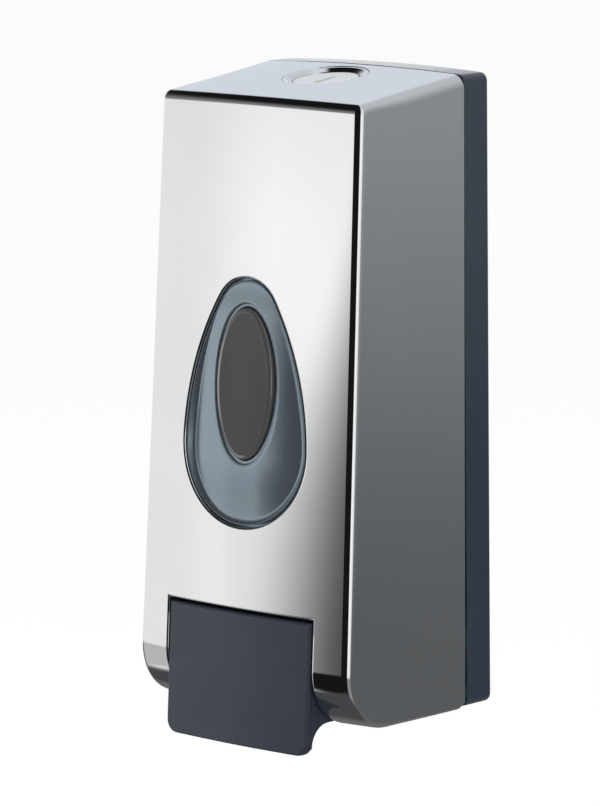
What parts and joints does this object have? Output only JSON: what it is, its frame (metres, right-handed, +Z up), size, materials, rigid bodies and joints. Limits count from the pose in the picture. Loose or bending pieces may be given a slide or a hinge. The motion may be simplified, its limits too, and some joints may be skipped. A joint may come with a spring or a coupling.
{
  "type": "wall-mounted soap dispenser",
  "caption": "Wall-mounted manual soap dispenser: hinged, keyed chrome cover with a drop-shaped level window, push lever, refillable tank and piston pump on a slate base.",
  "frame": {"origin": "centre of the four wall screw holes, on the wall face of the base", "axes": "+X to the right as a user sees it, +Y into the wall, +Z up"},
  "size_m": [0.0974, 0.0807, 0.229],
  "materials": {
    "chrome": "mirror-bright chrome plating",
    "slate": "slate ABS, satin",
    "slate_gloss": "slate ABS, glossy dish",
    "smoke": "smoky translucent lens",
    "steel": "plain steel",
    "black_rubber": "soft black seal",
    "silicone": "milky silicone",
    "natural": "natural translucent polypropylene",
    "white": "white acetal"
  },
  "bodies": {
    "base": {"wall_base": "slate", "soap_tank": "natural", "flap_pin": "steel", "pump_body": "white", "pump_gland": "white", "pump_screws": "steel", "union_nut": "white", "neck_gasket": "black_rubber", "inlet_valve": "silicone", "outlet_valve": "silicone", "nozzle": "white", "pump_spring": "steel", "lock_strike": "steel"},
    "cover": {"front_cover": "chrome", "window_trim": "slate_gloss", "window_lens": "smoke", "lens_gasket": "black_rubber", "lock_bezel": "chrome", "lock_nut": "steel", "hinge_pins": "steel", "lever_axle": "steel", "axle_clips": "steel"},
    "lock": {"lock_barrel": "chrome", "lock_clip": "steel", "lock_cam": "steel", "cam_screw": "steel"},
    "lever": {"push_lever": "slate"},
    "plunger": {"plunger": "white", "plunger_seal": "black_rubber"},
    "flap": {"filler_flap": "natural"}
  },
  "joints": [
    {"name": "cover_open", "type": "hinge", "parent": "base", "child": "cover", "pos_m": [0, -0.0183, -0.1047], "axis": [1, 0, 0], "range_deg": [0, 80]},
    {"name": "lock_turn", "type": "hinge", "parent": "cover", "child": "lock", "pos_m": [0, -0.032, 0.10747], "axis": [0, -0.1323, 0.9912], "range_deg": [0, 90]},
    {"name": "lever_press", "type": "hinge", "parent": "cover", "child": "lever", "pos_m": [0, -0.068, -0.064], "axis": [1, 0, 0], "range_deg": [0, 11], "stiffness_Nm_per_rad": 2, "springref_deg": -5.73},
    {"name": "plunger_slide", "type": "slide", "parent": "base", "child": "plunger", "axis": [0, 1, 0], "range_m": [0, 0.0064], "deforming": ["pump_spring"]},
    {"name": "flap_open", "type": "hinge", "parent": "base", "child": "flap", "pos_m": [0.0393, -0.0316, 0.0711], "axis": [0, 1, 0], "range_deg": [0, 88]}
  ],
  "couplings": [
    {"joint": "plunger_slide", "follows": "lever_press", "m_per_rad": 0.0328}
  ]
}
